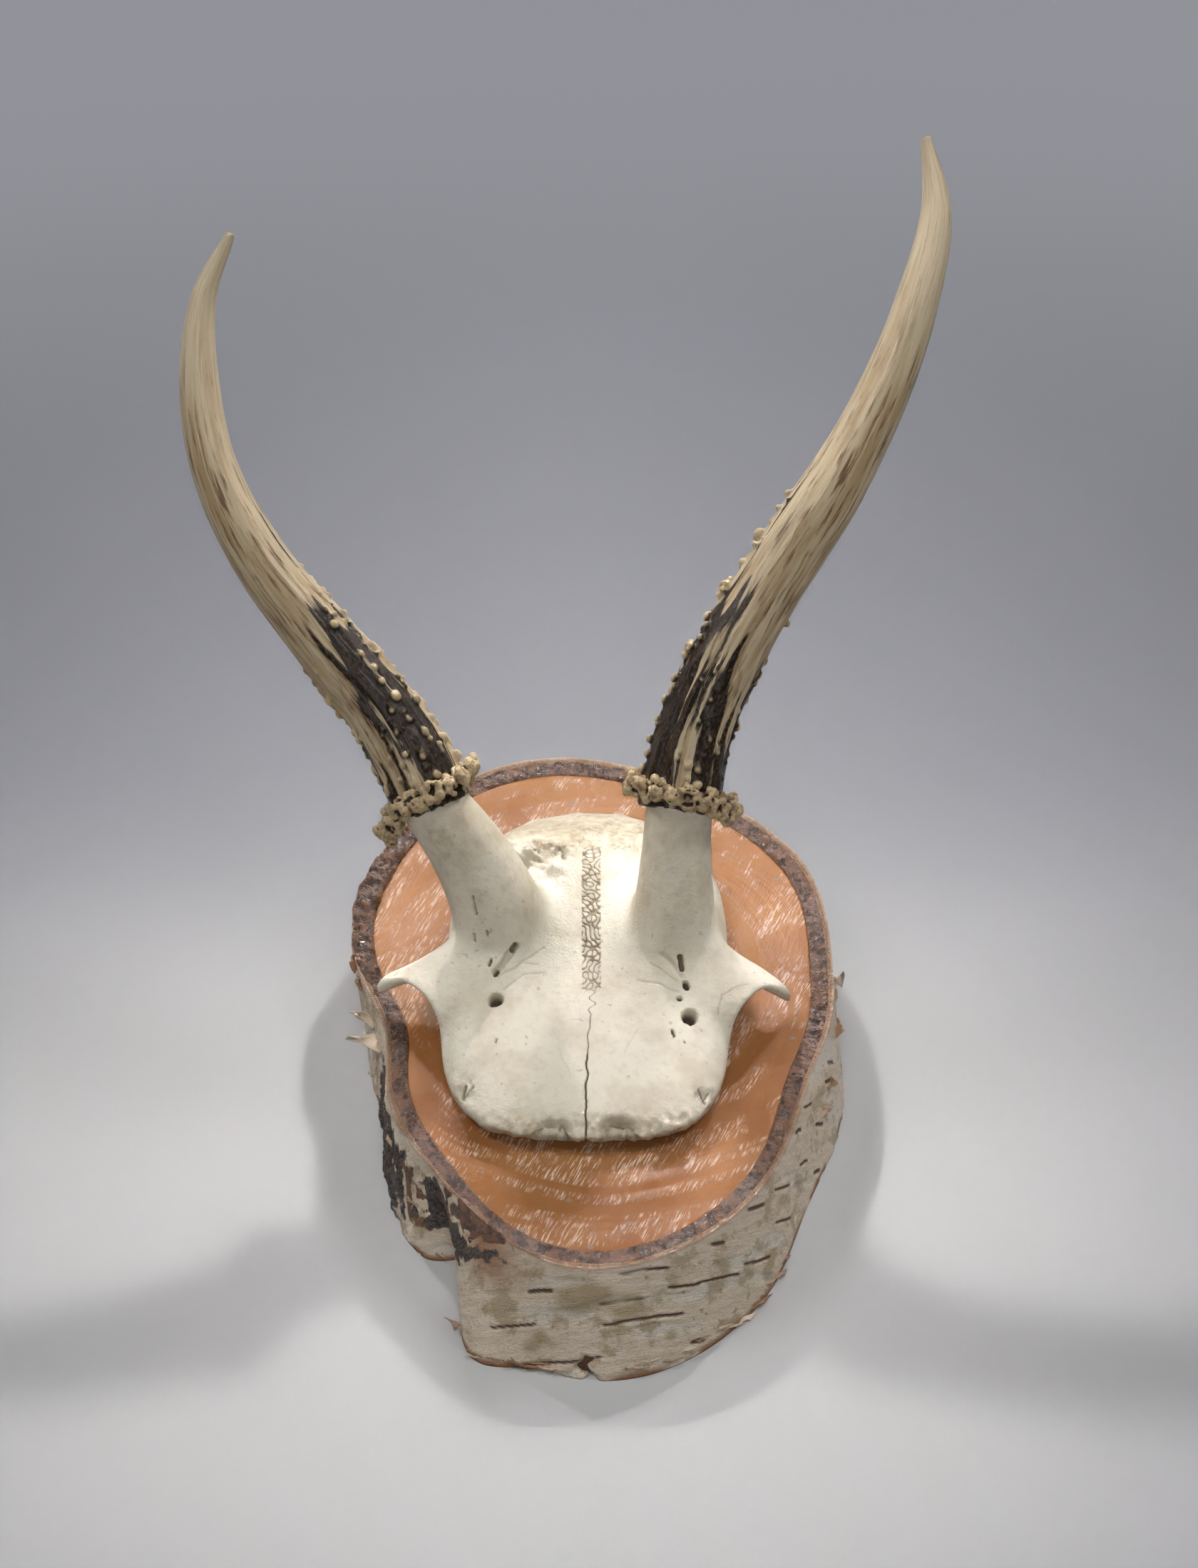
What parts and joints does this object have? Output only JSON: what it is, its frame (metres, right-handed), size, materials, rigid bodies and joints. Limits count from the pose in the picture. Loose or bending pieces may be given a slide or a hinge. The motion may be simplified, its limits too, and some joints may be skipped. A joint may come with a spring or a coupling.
{
  "type": "mounted roe buck skull cap with antlers",
  "caption": "Sawn roe buck skull cap with unforked spike antlers, fixed to an obliquely cut slice of birch log that serves as its plaque.",
  "frame": {"origin": "on the flat sawn back of the birch slice, below the middle of its sawn face", "axes": "+Z out of the sawn face, up from the floor; -Y towards the nasal edge of the skull cap; +Y the way the antlers lean back; +X the right of a viewer who faces the nasal edge"},
  "size_m": [0.1686, 0.2316, 0.1482],
  "materials": {
    "bone": "satin, finely pitted bone",
    "burr": "satin, cream beads with dark brown hollows",
    "antler_dark": "satin, dark brown and ridged",
    "antler_pale": "smooth satin ivory with brown streaks",
    "birch_wood": "glossy varnish over a sawn face",
    "inner_bark": "glossy varnish over coarse dark bark",
    "outer_bark": "matt papery bark"
  },
  "bodies": {
    "root": {"slice_wood": "birch_wood", "slice_inner_bark": "inner_bark", "slice_outer_bark": "outer_bark", "frontal_left": "bone", "frontal_right": "bone", "parietals": "bone", "antler_left_burr": "burr", "antler_left_lower": "antler_dark", "antler_left_upper": "antler_pale", "antler_right_burr": "burr", "antler_right_lower": "antler_dark", "antler_right_upper": "antler_pale"}
  },
  "joints": []
}
